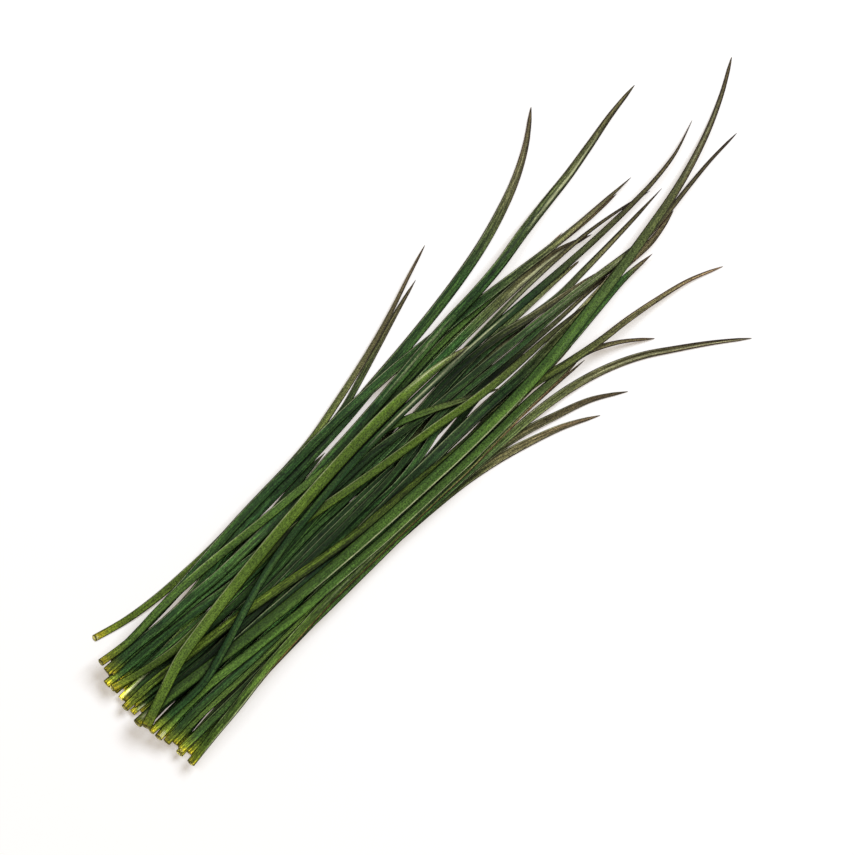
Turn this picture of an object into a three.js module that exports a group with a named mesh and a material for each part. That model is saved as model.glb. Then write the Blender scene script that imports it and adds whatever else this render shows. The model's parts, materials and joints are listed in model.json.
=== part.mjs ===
// A bunch of fresh chives, cut across the stems and laid down loose on a flat surface.
//
// Each leaf is one blade: a slightly flattened tube, open where it was cut and drawn out to a point.
// A blade is turned as a straight LatheGeometry and then bent along its route. The leaves are laid
// one at a time: each sags like a thin springy strip until it rests on the surface or on the leaves
// laid before it, so that none passes through another.
//
// Millimetres, +Z up. X runs from the cut ends to the tips, Y across the bunch, and the surface that
// the bunch lies on is Z = 0. The origin is under the middle of the bunch.

import * as THREE from "three";

// Blade
const SIDES = 6; // flat faces round a blade, one of them on top and one underneath
const STATION_STEP = 11; // distance between two sections along a blade
const THICKNESS_SHARE = 0.6; // a blade's thickness over its width
const CUT_WIDTH_SHARE = 0.88; // width at the cut over the full width
const SWELL_LENGTH = 30; // a blade reaches its full width this far from the cut
const TIP_WIDTH_SHARE = 0.25; // width at the tip over the full width
const TAPER_CURVE = 2.2; // how late a narrowing blade loses most of its width
const BORE_SHARE = 0.62; // the hollow's width over the blade's, at the cut
const BORE_DEPTH = 9; // how far the hollow is open from the cut

// Laying
const GAP = 0.3; // kept between two leaves that rest on each other
const SAG = 1e-4; // a blade's weight over its bending stiffness, per cubic millimetre
const SAMPLE_STEP = 2; // distance between two places where a blade is tried against the others
const SWEEPS = 1500;

const TINTS = {
  bright: 0x586d2b,
  fresh: 0x46602a,
  mid: 0x3c5228,
  deep: 0x324826,
  dusky: 0x2e4226,
};

// The leaves in the order in which they are laid, the lowest first: the tint, the full width, the
// share of the length after which the blade narrows, and the route in plan from the cut to the tip.
const LEAVES = [
  // the bottom of the heap
  ["mid", 2.8, 0.75, [-2.3, -17.6], [12, -17.3], [40, -17.0], [75, -17.3], [92, -18.5],
    [101, -19.4], [112, -20.9], [125, -24.0], [138, -28.7], [146, -32.3], [151.2, -35.6]],
  ["mid", 2.5, 0.78, [-1, -16.0], [25, -14.6], [60, -14.3], [85, -15.2], [100, -17.6],
    [110, -19.4], [121, -20.7], [130, -22.4], [136, -24.1], [142, -26.3], [150, -29.4],
    [156, -32.2], [161.8, -36.6]],
  ["deep", 2.5, 0.6, [-3, -13.6], [12, -12.2], [30, -11.5], [60, -11.4], [90, -12.2],
    [120, -13.1], [130, -12.6], [140, -12.3], [156, -12.6]],
  ["deep", 2.5, 0.6, [-3, -8.6], [40, -8.5], [85, -8.6], [106, -8.7], [116, -8.0], [124, -6.9],
    [134, -6.5], [150, -7.6]],
  ["mid", 2.5, 0.6, [-3, -5.7], [40, -5.7], [75, -5.6], [100, -5.5], [112, -4.7], [124, -4.4]],
  ["deep", 2.5, 0.6, [-2, -2.8], [40, -2.8], [70, -2.7], [95, -1.8], [108, -0.9], [130, -1.6]],
  ["deep", 2.5, 0.75, [-3, 0.1], [40, 0.1], [70, 0.2], [95, 1.2], [125, 1.4], [140, 0.4],
    [152, -0.9], [166, -3.2]],
  ["deep", 2.5, 0.6, [-3, 3.0], [40, 3.0], [60, 3.1], [80, 4.1], [95, 4.8], [104, 4.9],
    [112, 4.6]],
  ["mid", 2.5, 0.6, [-1, 11.0], [12, 10.4], [25, 9.4], [40, 8.9], [60, 8.9], [80, 7.9],
    [95, 6.5], [115, 6.3], [133, 6.4]],
  ["mid", 2.6, 0.7, [0, 13.6], [20, 12.9], [46, 13.4], [62, 12.4], [80, 11.8], [100, 11.5],
    [125, 10.6], [150, 9.9], [163, 9.1], [174, 7.6]],
  ["deep", 2.4, 0.75, [1, 12.6], [20, 11.6], [45, 11.8], [60, 12.9], [70, 13.3], [78, 14.1],
    [88, 14.3]],
  ["mid", 1.9, 0.8, [3, 16.6], [18, 16.6], [26, 17.0], [36, 18.0], [60, 18.6], [85, 18.3],
    [98, 18.9], [106, 20.6], [115, 23.1], [125, 25.9], [134, 28.3], [142.3, 30.2]],
  // the lower right edge
  ["mid", 2.0, 0.5, [-1, -14.9], [10, -15.4], [30, -15.7], [70, -15.7], [100, -17.0],
    [125, -18.3], [145, -19.8], [159.7, -21.2]],
  ["fresh", 2.8, 0.7, [-4.2, -15.9], [0, -15.4], [8, -15.4], [14, -15.4], [24, -14.0],
    [40, -12.9], [75, -12.9], [100, -14.4], [128, -17.8]],
  ["mid", 2.0, 0.75, [-3.5, -9.6], [20, -9.6], [40, -10.0], [70, -10.2], [90, -11.9],
    [105, -14.0], [120, -15.1], [135, -15.5], [148, -15.6], [159.8, -15.7]],
  ["mid", 2.4, 0.6, [-2.8, -12.6], [4, -12.6], [10, -12.45], [17, -13.0], [26, -13.5],
    [38, -13.9], [60, -14.6], [90, -14.9], [110, -16.6], [135, -17.7], [150, -18.8]],
  ["mid", 2.6, 0.7, [-2.8, -15.3], [20, -16.2], [42, -16.7], [55, -17.2], [70, -17.6],
    [90, -18.1], [110, -19.1], [130, -20.7], [145, -22.6], [158, -25.9], [170, -31.1],
    [182, -39.2], [190, -45.2], [197.8, -51.7]],
  // the upper left edge
  ["mid", 1.8, 0.6, [-2, 8.4], [20, 8.2], [40, 7.9], [60, 8.0], [85, 9.4], [110, 11.4],
    [140, 11.4], [160, 10.2], [172, 9.3], [181.7, 9.2]],
  ["fresh", 2.3, 0.6, [-2, 14.0], [30, 12.2], [60, 10.6], [90, 10.6], [115, 11.5], [135, 12.0],
    [150, 11.1], [165, 9.6], [172, 8.7], [180, 7.6], [190, 6.3], [200.8, 5.6]],
  ["fresh", 2.3, 0.4, [2.3, 25.2], [10, 22.8], [20, 20.7], [32, 19.4], [48, 18.6], [65, 18.9],
    [82, 19.2], [92, 20.25], [102, 22.2], [112, 24.15], [121, 26.25], [131, 29.0], [141, 32.2],
    [151.4, 35.3]],
  ["deep", 3.3, 0.72, [2.5, 15.2], [14, 13.8], [28, 12.9], [38, 13.9], [48, 16.0], [60, 16.5],
    [75, 16.4], [90, 16.6], [100, 17.0], [110, 17.7], [120, 18.3], [130, 19.0], [140, 19.9],
    [150, 21.1], [160, 22.7], [170, 25.1], [180, 28.35], [190, 32.8], [201.6, 41.0]],
  // the middle
  ["deep", 2.9, 0.85, [-4.1, 13.2], [5, 12.2], [12, 11.5], [20, 10.7], [30, 9.2], [40, 7.4],
    [50, 6.2], [65, 6.0], [80, 7.1], [100, 8.5], [120, 9.0], [140, 8.8], [150, 8.6], [160, 8.0],
    [170, 7.3], [178, 5.8], [187, 2.6]],
  ["mid", 2.3, 0.68, [-5.2, 2.2], [5, 1.2], [15, -0.3], [28, -1.4], [42, -0.6], [55, 0.9],
    [70, 1.3], [85, 0.3], [100, 0.1], [115, 0.9], [130, 1.5], [142, 1.0], [152, -0.1],
    [160, -1.9], [168, -2.9], [180, -3.0], [195, -3.0], [211, -2.7]],
  ["mid", 2.4, 0.75, [-3, 3.5], [20, 0.5], [50, -1.4], [65, -1.5], [80, -1.9], [95, -2.8],
    [105, -3.4], [115, -2.9], [125, -2.6], [133, -3.3], [140, -4.2], [147, -5.6]],
  ["mid", 2.1, 0.85, [-4.5, 7.4], [2, 7.4], [8, 6.5], [15, 5.4], [25, 4.0], [38, 3.6],
    [50, 3.3], [60, 2.9], [70, 2.7], [80, 2.3], [90, 2.0], [100, 1.7], [110, 1.6], [120, 1.9],
    [130, 2.4], [140, 2.5], [150, 2.1], [160, 1.55], [170, 0.85], [179, -0.1]],
  ["mid", 2.4, 0.5, [-2, -3.0], [20, -2.6], [40, -2.9], [55, -2.8], [70, -3.0], [85, -3.5],
    [100, -4.1], [115, -4.7], [130, -4.9], [142, -5.6], [152, -6.6], [160, -7.4], [170, -8.0],
    [178, -8.7], [184, -9.5]],
  ["deep", 2.3, 0.8, [-4, 5.9], [8, 5.4], [22, 4.0], [38, 2.6], [52, 2.2], [70, 3.2],
    [85, 3.4], [100, 3.0], [112, 2.8], [122, 3.4], [132, 3.4], [142, 2.3], [150, 0.8],
    [158, -1.4], [165, -3.2], [172, -4.4], [180, -6.1]],
  ["deep", 2.4, 0.6, [-3, -6.5], [20, -6.0], [40, -5.4], [55, -6.0], [70, -6.2], [85, -6.6],
    [95, -7.2], [102, -7.0], [110, -5.4], [118, -3.9], [130, -2.4], [140, -1.9], [150, -2.5],
    [158, -3.6], [166, -5.0], [172, -5.9]],
  ["mid", 2.2, 0.55, [-3, 0.3], [15, -1.8], [35, -3.4], [55, -3.9], [70, -4.4], [85, -4.6],
    [98, -4.4], [108, -3.0], [118, -1.9], [126, -2.2], [135, -3.3], [147, -4.8], [156, -5.4],
    [166, -6.2], [176, -7.5], [186, -9.0], [194, -9.9]],
  ["dusky", 3.4, 0.75, [-3, -2.0], [10, -3.2], [25, -5.2], [40, -6.3], [55, -7.6], [70, -8.6],
    [90, -8.9], [100, -9.0], [110, -9.35], [120, -9.7], [130, -10.2], [140, -10.9],
    [150, -11.3], [162, -11.2], [175, -10.9], [185, -10.4], [191, -10.3], [195, -10.7],
    [199, -11.3], [203, -11.2], [206.2, -10.8], [208.6, -9.6]],
  ["mid", 1.6, 0.7, [-4.1, 9.8], [5, 9.0], [12, 8.5], [20, 7.6], [30, 6.4], [45, 5.0],
    [60, 4.7], [80, 5.8], [100, 6.5], [120, 6.4], [130, 6.0], [140, 5.85], [150, 5.85],
    [160, 5.8], [170, 5.25], [180, 4.6], [190, 3.3], [197, 1.9], [203, 0.5], [208, -0.8]],
  ["mid", 2.6, 0.85, [-4, -10.9], [5, -10.7], [15, -11.0], [25, -11.7], [38, -12.3],
    [60, -12.6], [90, -13.0], [120, -13.9], [140, -14.6], [155, -14.5], [165, -14.0],
    [180, -13.0], [188, -13.1], [195.2, -13.9]],
  ["mid", 2.4, 0.55, [-0.4, 14.5], [10, 13.9], [20, 12.8], [30, 11.6], [40, 10.2], [50, 8.6],
    [60, 7.2], [72, 5.9], [85, 4.9], [95, 4.4], [102, 3.6], [108, 2.5], [115, 1.0],
    [125, -0.1], [135, -1.1], [145, -2.2], [155, -3.5], [165, -4.9], [175, -6.2], [185, -7.9],
    [195, -9.2], [205, -8.95], [215, -8.05], [225, -7.25], [237.6, -7.2]],
  // the top of the heap
  ["deep", 2.9, 0.6, [2, 17.0], [15, 16.85], [30, 17.1], [45, 17.9], [60, 18.5], [80, 18.5],
    [100, 18.1], [112, 17.3], [122, 16.4], [132, 15.0], [145, 13.3], [157, 11.3], [165, 10.1],
    [172, 9.05], [180, 7.95], [190, 7.05], [207, 5.9]],
  ["fresh", 2.9, 0.7, [-3.8, -20.2], [0, -19.8], [10, -18.9], [20, -18.1], [30, -17.0],
    [45, -16.4], [60, -16.0], [75, -16.4], [90, -17.0], [100, -17.4], [110, -18.0],
    [120, -18.2], [130, -18.2], [140, -18.7], [150, -19.4], [157, -20.0]],
  ["fresh", 2.8, 0.6, [-4.8, -8.3], [0, -8.2], [8, -7.8], [15, -8.0], [22, -8.9], [30, -9.9],
    [38, -10.9], [50, -12.5], [60, -13.3], [70, -14.2], [80, -15.1], [90, -15.7],
    [100, -16.2], [110, -16.8], [120, -17.2], [130, -17.4], [140, -17.8], [150, -18.6],
    [158, -19.2], [164, -20.7], [170, -24.7], [178.2, -31.5]],
  ["deep", 3.1, 0.75, [-1.1, 15.6], [10, 14.8], [20, 13.5], [30, 12.9], [40, 11.85],
    [50, 11.4], [60, 11.1], [70, 11.1], [80, 11.6], [90, 12.3], [100, 12.5], [110, 13.1],
    [120, 13.8], [130, 14.4], [140, 14.8], [150, 14.9], [160, 15.4], [170, 16.8],
    [180, 18.1], [190, 18.9], [200, 20.2], [210, 21.8], [220, 23.3], [227, 23.8]],
  ["bright", 2.7, 0.55, [-5.6, 4.6], [2, 4.3], [10, 3.4], [20, 1.7], [30, 0.4], [40, -1.3],
    [50, -3.3], [60, -5.4], [70, -7.3], [80, -8.9], [90, -9.9], [100, -10.9], [107, -11.8],
    [114, -12.7], [121, -13.2], [129, -13.6], [136, -14.1], [143, -15.0], [150, -16.6],
    [160, -19.4], [170, -20.9], [180, -22.6], [190, -24.9], [200, -27.8], [207, -31.2]],
  ["fresh", 2.5, 0.65, [-0.5, 18.7], [4, 17.15], [15, 17.1], [28, 17.0], [40, 16.1], [50, 15.0],
    [60, 13.6], [70, 12.6], [80, 11.3], [92, 9.4], [102, 7.2], [110, 4.6], [116, 1.9],
    [122, -1.6], [128, -4.6], [133, -7.2], [136.8, -9.4]],
  ["fresh", 3.3, 0.55, [-6, -1.1], [4, -1.9], [14, -3.4], [25, -5.3], [38, -7.2], [50, -8.7],
    [65, -10.2], [80, -11.5], [100, -12.9], [120, -14.0], [140, -14.2], [155, -13.5],
    [170, -12.0], [185, -10.4], [200, -8.3], [215, -5.6], [230, -1.4], [242, 3.5],
    [252.4, 9.2]],
  ["bright", 2.5, 0.72, [-3.8, 11.3], [2, 9.9], [8, 7.7], [15, 6.2], [25, 5.5], [40, 5.7],
    [55, 6.0], [64, 5.6], [72, 4.5], [80, 2.9], [90, 1.05], [100, -1.0], [110, -2.5],
    [120, -4.4], [130, -6.3], [140, -7.6], [150, -8.35], [160, -9.1], [170.9, -10.3]],
  ["dusky", 2.4, 0.55, [-4.8, -5.5], [2, -5.8], [8, -6.6], [15, -6.7], [20, -6.2], [25, -4.8],
    [32, -3.0], [40, -0.5], [50, 2.05], [60, 3.9], [70, 5.0], [80, 5.8], [90, 6.4],
    [100, 6.5], [110, 6.4], [120, 6.0], [130, 5.5], [140, 4.9], [150, 4.1], [160, 3.1],
    [170, 2.2], [180, 1.35], [190, 0.7], [200, 0.35], [210, 0.4], [220, 1.4], [231.3, 4.7]],
  ["bright", 3.4, 0.75, [-4.6, -3.7], [4, -1.0], [15, 2.6], [35, 5.4], [62, 8.0], [80, 9.0],
    [95, 9.5], [110, 9.4], [122, 8.7], [131, 7.5], [139.2, 5.7]],
];

// How wide a blade is at a distance from its cut, as a share of its full width.
function widthShare(distance, length, narrows) {
  const swell = THREE.MathUtils.smoothstep(distance, 0, SWELL_LENGTH);
  const along = THREE.MathUtils.clamp((distance / length - narrows) / (1 - narrows), 0, 1);
  const taper = 1 - (1 - TIP_WIDTH_SHARE) * Math.pow(along, TAPER_CURVE);
  return (CUT_WIDTH_SHARE + (1 - CUT_WIDTH_SHARE) * swell) * taper;
}

// The blade's stations: evenly spaced points of its route in plan, each with its half width.
function stationsOf(width, narrows, route) {
  const points = route.map(([x, y]) => new THREE.Vector3(x, y, 0));
  const curve = new THREE.CatmullRomCurve3(points, false, "centripetal");
  const length = curve.getLength();
  const steps = Math.round(length / STATION_STEP);
  return curve.getSpacedPoints(steps).map((centre, i) => ({
    centre,
    halfWidth: (width / 2) * widthShare((length * i) / steps, length, narrows),
  }));
}

// Half the thickness of a blade's six-sided section, from its centre to its flat.
const flatHeight = (halfWidth) => halfWidth * THICKNESS_SHARE * Math.cos(Math.PI / SIDES);

// How far a section's centre has to lie above another's, with their centres apart in plan.
function heightOver(apart, halfWidth, otherHalfWidth) {
  const reach = halfWidth + otherHalfWidth + GAP;
  if (apart >= reach) return -Infinity;
  const round = reach * THICKNESS_SHARE * Math.sqrt(1 - (apart / reach) ** 2);
  return Math.min(round, flatHeight(halfWidth) + flatHeight(otherHalfWidth)) + GAP;
}

// The lowest height that a section centred at a point in plan can have over the leaves laid so far.
function lowestHeight(x, y, halfWidth, laid) {
  let lowest = flatHeight(halfWidth);
  for (const stations of laid) {
    for (let i = 1; i < stations.length; i++) {
      const a = stations[i - 1];
      const b = stations[i];
      const dx = b.centre.x - a.centre.x;
      const dy = b.centre.y - a.centre.y;
      const along = ((x - a.centre.x) * dx + (y - a.centre.y) * dy) / (dx * dx + dy * dy);
      const t = THREE.MathUtils.clamp(along, 0, 1);
      const apart = Math.hypot(x - a.centre.x - t * dx, y - a.centre.y - t * dy);
      const otherHalfWidth = THREE.MathUtils.lerp(a.halfWidth, b.halfWidth, t);
      const otherHeight = THREE.MathUtils.lerp(a.centre.z, b.centre.z, t);
      lowest = Math.max(lowest, otherHeight + heightOver(apart, halfWidth, otherHalfWidth));
    }
  }
  return lowest;
}

// The lowest height for each station that keeps the blade clear on both sides of it.
function floorsOf(stations, laid) {
  const floors = stations.map(() => 0);
  for (let i = 1; i < stations.length; i++) {
    const a = stations[i - 1];
    const b = stations[i];
    const steps = Math.ceil(a.centre.distanceTo(b.centre) / SAMPLE_STEP);
    for (let k = 0; k <= steps; k++) {
      const t = k / steps;
      const x = THREE.MathUtils.lerp(a.centre.x, b.centre.x, t);
      const y = THREE.MathUtils.lerp(a.centre.y, b.centre.y, t);
      const halfWidth = THREE.MathUtils.lerp(a.halfWidth, b.halfWidth, t);
      const lowest = lowestHeight(x, y, halfWidth, laid);
      floors[i - 1] = Math.max(floors[i - 1], lowest);
      floors[i] = Math.max(floors[i], lowest);
    }
  }
  return floors;
}

// The height at which a springy strip bends least at station k, with its neighbours held.
function relaxed(heights, k, sag) {
  let sum = -sag;
  let weight = 0;
  for (let j = Math.max(1, k - 1); j <= Math.min(heights.length - 2, k + 1); j++) {
    const share = j === k ? -2 : 1;
    const bend = heights[j - 1] - 2 * heights[j] + heights[j + 1];
    sum -= share * (bend - share * heights[k]);
    weight += share * share;
  }
  return sum / weight;
}

// Lets a blade sag onto the surface and the leaves below it.
function lay(stations, laid) {
  const floors = floorsOf(stations, laid);
  const heights = stations.map(() => Math.max(...floors));
  const sag = SAG * stations[0].centre.distanceTo(stations[1].centre) ** 4;
  for (let sweep = 0; sweep < SWEEPS; sweep++) {
    for (let k = 0; k < heights.length; k++) {
      heights[k] = Math.max(floors[k], relaxed(heights, k, sag));
    }
  }
  stations.forEach((station, k) => (station.centre.z = heights[k]));
}

// The blade's centre, sideways and upward directions at a station, whole or between two.
function frameAt(stations, place) {
  const i = Math.min(Math.floor(place), stations.length - 2);
  const centre = stations[i].centre.clone().lerp(stations[i + 1].centre, place - i);
  const before = stations[Math.max(Math.ceil(place) - 1, 0)].centre;
  const after = stations[Math.min(Math.floor(place) + 1, stations.length - 1)].centre;
  const along = after.clone().sub(before).normalize();
  const side = along.clone().cross(new THREE.Vector3(0, 0, 1)).normalize();
  return { centre, side, up: side.clone().cross(along) };
}

// The blade as a solid: turned straight, with its hollow at the cut, and then bent along its stations.
function bladeGeometry(stations) {
  const cut = stations[0].halfWidth;
  const last = stations.length - 1;
  const profile = [
    new THREE.Vector2(0, BORE_DEPTH / STATION_STEP),
    new THREE.Vector2(cut * BORE_SHARE, 0),
    ...stations.map(({ halfWidth }, i) => new THREE.Vector2(halfWidth, i)),
    new THREE.Vector2(0, last),
  ];
  const geometry = new THREE.LatheGeometry(profile, SIDES, Math.PI / SIDES);
  const position = geometry.getAttribute("position");
  const vertex = new THREE.Vector3();
  for (let i = 0; i < position.count; i++) {
    vertex.fromBufferAttribute(position, i);
    const { centre, side, up } = frameAt(stations, vertex.y);
    centre.addScaledVector(side, vertex.x).addScaledVector(up, vertex.z * THICKNESS_SHARE);
    position.setXYZ(i, centre.x, centre.y, centre.z);
  }
  geometry.computeVertexNormals();
  return geometry;
}

function buildBunch() {
  const bunch = new THREE.Group();
  const laid = [];
  LEAVES.forEach(([tint, width, narrows, ...route], i) => {
    const stations = stationsOf(width, narrows, route);
    lay(stations, laid);
    laid.push(stations);
    const material = new THREE.MeshStandardMaterial({ color: TINTS[tint], roughness: 0.5 });
    const leaf = new THREE.Mesh(bladeGeometry(stations), material);
    leaf.name = `leaf_${String(i + 1).padStart(2, "0")}`;
    bunch.add(leaf);
  });
  const box = new THREE.Box3().setFromObject(bunch);
  const middle = box.getCenter(new THREE.Vector3());
  bunch.position.set(-middle.x, -middle.y, -box.min.z);
  const part = new THREE.Group();
  part.add(bunch);
  return part;
}

export default buildBunch();
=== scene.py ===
"""The looks of a loose bunch of fresh chives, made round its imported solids.

Each solid gives one blade's spine and widths. A geometry node tree sweeps the blade along that
spine: a ribbed, flattened tube with an open cut end, a crease that deepens towards the tip, and the
attributes that the leaf materials read. Metres, in the row frame.
"""

import json
import math

import bmesh
import bpy
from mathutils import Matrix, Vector


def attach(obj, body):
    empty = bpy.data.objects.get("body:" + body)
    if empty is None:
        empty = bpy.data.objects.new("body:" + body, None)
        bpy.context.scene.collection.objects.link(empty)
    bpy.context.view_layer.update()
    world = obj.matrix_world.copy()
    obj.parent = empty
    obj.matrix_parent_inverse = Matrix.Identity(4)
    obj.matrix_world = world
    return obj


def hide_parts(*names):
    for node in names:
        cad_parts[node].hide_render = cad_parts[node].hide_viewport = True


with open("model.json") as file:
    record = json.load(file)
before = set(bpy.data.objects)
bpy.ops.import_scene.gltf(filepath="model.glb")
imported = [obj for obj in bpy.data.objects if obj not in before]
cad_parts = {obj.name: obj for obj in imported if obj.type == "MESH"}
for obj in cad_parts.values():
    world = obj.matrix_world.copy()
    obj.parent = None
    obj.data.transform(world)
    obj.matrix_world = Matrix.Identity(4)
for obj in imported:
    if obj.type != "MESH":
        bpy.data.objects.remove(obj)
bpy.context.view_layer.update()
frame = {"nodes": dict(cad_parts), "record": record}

MM = 0.001

# Blade section
SIDES = 40  # points round a blade
RING_STEP = 1.15 * MM  # mean distance between two rings of points
RIM_RINGS = 10  # rings of the hollow and the cut face
FLATNESS = 0.5  # half thickness over half width
SQUARENESS = 3.0  # 2 is an ellipse, more is a flatter top with rounder shoulders
BORE_SHARE = 0.62  # the hollow's width over the blade's
BORE_DEPTH = 8 * MM
HOLLOW_SHARE = 0.6  # share of the rim rings that line the hollow; the others make the cut face
FLOOR_SHARE = 0.5  # share of the rim rings that close the hollow's inner end
RING_CROWDING = 0.85  # how much closer the rings stand at both ends; 1 is the most
RIB_COUNT = 7
RIB_DEPTH = 0.02  # over the half width
WAVINESS = 0.05  # over the half width
CREASE_AT, CREASE_WIDTH = 0.1, 0.42  # across the blade, in half widths
CREASE_DEEPENS = (0.35, 0.85, 0.12, 1.0)  # from and to this share of the length, by this much
ROLL = math.radians(9)  # about the most that a blade turns round its spine
WAVE_RATE = 0.045  # waves in the width, per mm
ROLL_RATE = 0.018  # turns to and fro, per mm
SEED_STEP = 7.31  # how far apart the noises of two blades lie
WELD = 1e-6  # points closer than this are one

# The looks of single blades, where they differ from DEFAULT:
# base: painted light at the cut: how much brighter the cut end is
# light: painted light and shade: the brightness at each of STATIONS, where the last value holds on
# tilt: painted light and shade across: how much brighter the -Y edge is than the +Y edge at each of STATIONS
# warm: how yellow
# young: length of the yellow base in mm
# slant: how far the upper side of the cut lies behind the lower one, in mm
# crease: depth of the lengthwise fold
# dry_from: share of the length where the green turns olive
# dry: how brown the tip is
# tip: length of the rounding at the tip in mm
# edge: how deep the painted shade along the edges is
# streak: how strong the lengthwise streaks are
# fill: how much wider the blade is than its solid, for the buried ones
# marks: lengthwise marks (painted highlights, painted shade and rust), each with its kind of MARKS,
#     its place across the blade (-1 at the +Y edge, 1 at the -Y edge), its half width as a share of
#     the blade's, where it starts and ends in mm from the cut, and how strong it is
STATIONS = (30.0, 85.0, 140.0, 180.0, 230.0)  # mm from the cut
BASE_LENGTH = 14.0  # mm from the cut, over which base fades out
MARK_FADE = 12.0  # the most mm over which the ends of a mark fade out
RIMS = (  # painted highlights: the fine light lines along the edges of most blades
    ("painted_highlight", -0.83, 0.06, 8, 190, 0.5), ("painted_highlight", -0.8, 0.05, 95, 185, 0.55),
    ("painted_highlight", 0.8, 0.04, 100, 185, 0.3),
)
DEFAULT = dict(
    base=1.0, light=(1.0,), tilt=(0.0,), warm=0.0, young=7.0, slant=0.5, crease=0.5, dry_from=0.72, dry=0.6,
    tip=4.0, edge=0.92, streak=1.0, fill=1.0, marks=RIMS,
)
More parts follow.
